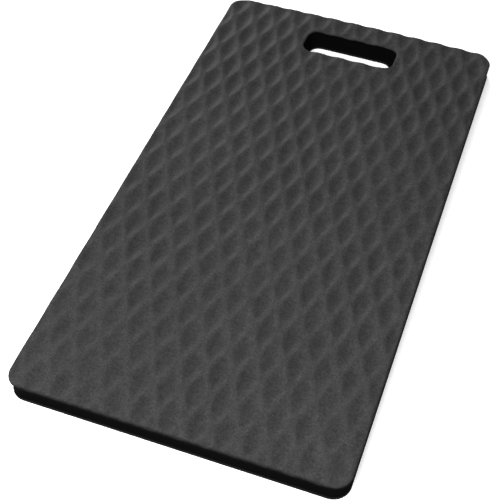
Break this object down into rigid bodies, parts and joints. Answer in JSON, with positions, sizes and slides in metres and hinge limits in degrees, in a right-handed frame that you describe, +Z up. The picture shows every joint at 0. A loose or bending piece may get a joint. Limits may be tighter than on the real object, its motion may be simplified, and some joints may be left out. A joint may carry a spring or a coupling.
{
  "type": "kneeling pad",
  "caption": "Flat rectangular foam kneeling pad with round corners, a long hand slot near one short edge and a diamond net embossed in its upper face.",
  "frame": {"origin": "centre of the underside, on the ground that the pad lies on", "axes": "+X across the pad, +Y along the pad towards the hand slot, +Z up out of the embossed face"},
  "size_m": [0.2794, 0.5334, 0.019],
  "materials": {
    "embossed_foam_skin": "matt, finely grained charcoal foam skin with a soft sheen",
    "soft_foam": "matt black closed-cell foam, die cut",
    "firm_foam": "matt black closed-cell foam, die cut",
    "base_foam_skin": "matt black pebbled foam skin"
  },
  "bodies": {
    "root": {"top_skin": "embossed_foam_skin", "comfort_core": "soft_foam", "support_core": "firm_foam", "base_skin": "base_foam_skin"}
  },
  "joints": []
}
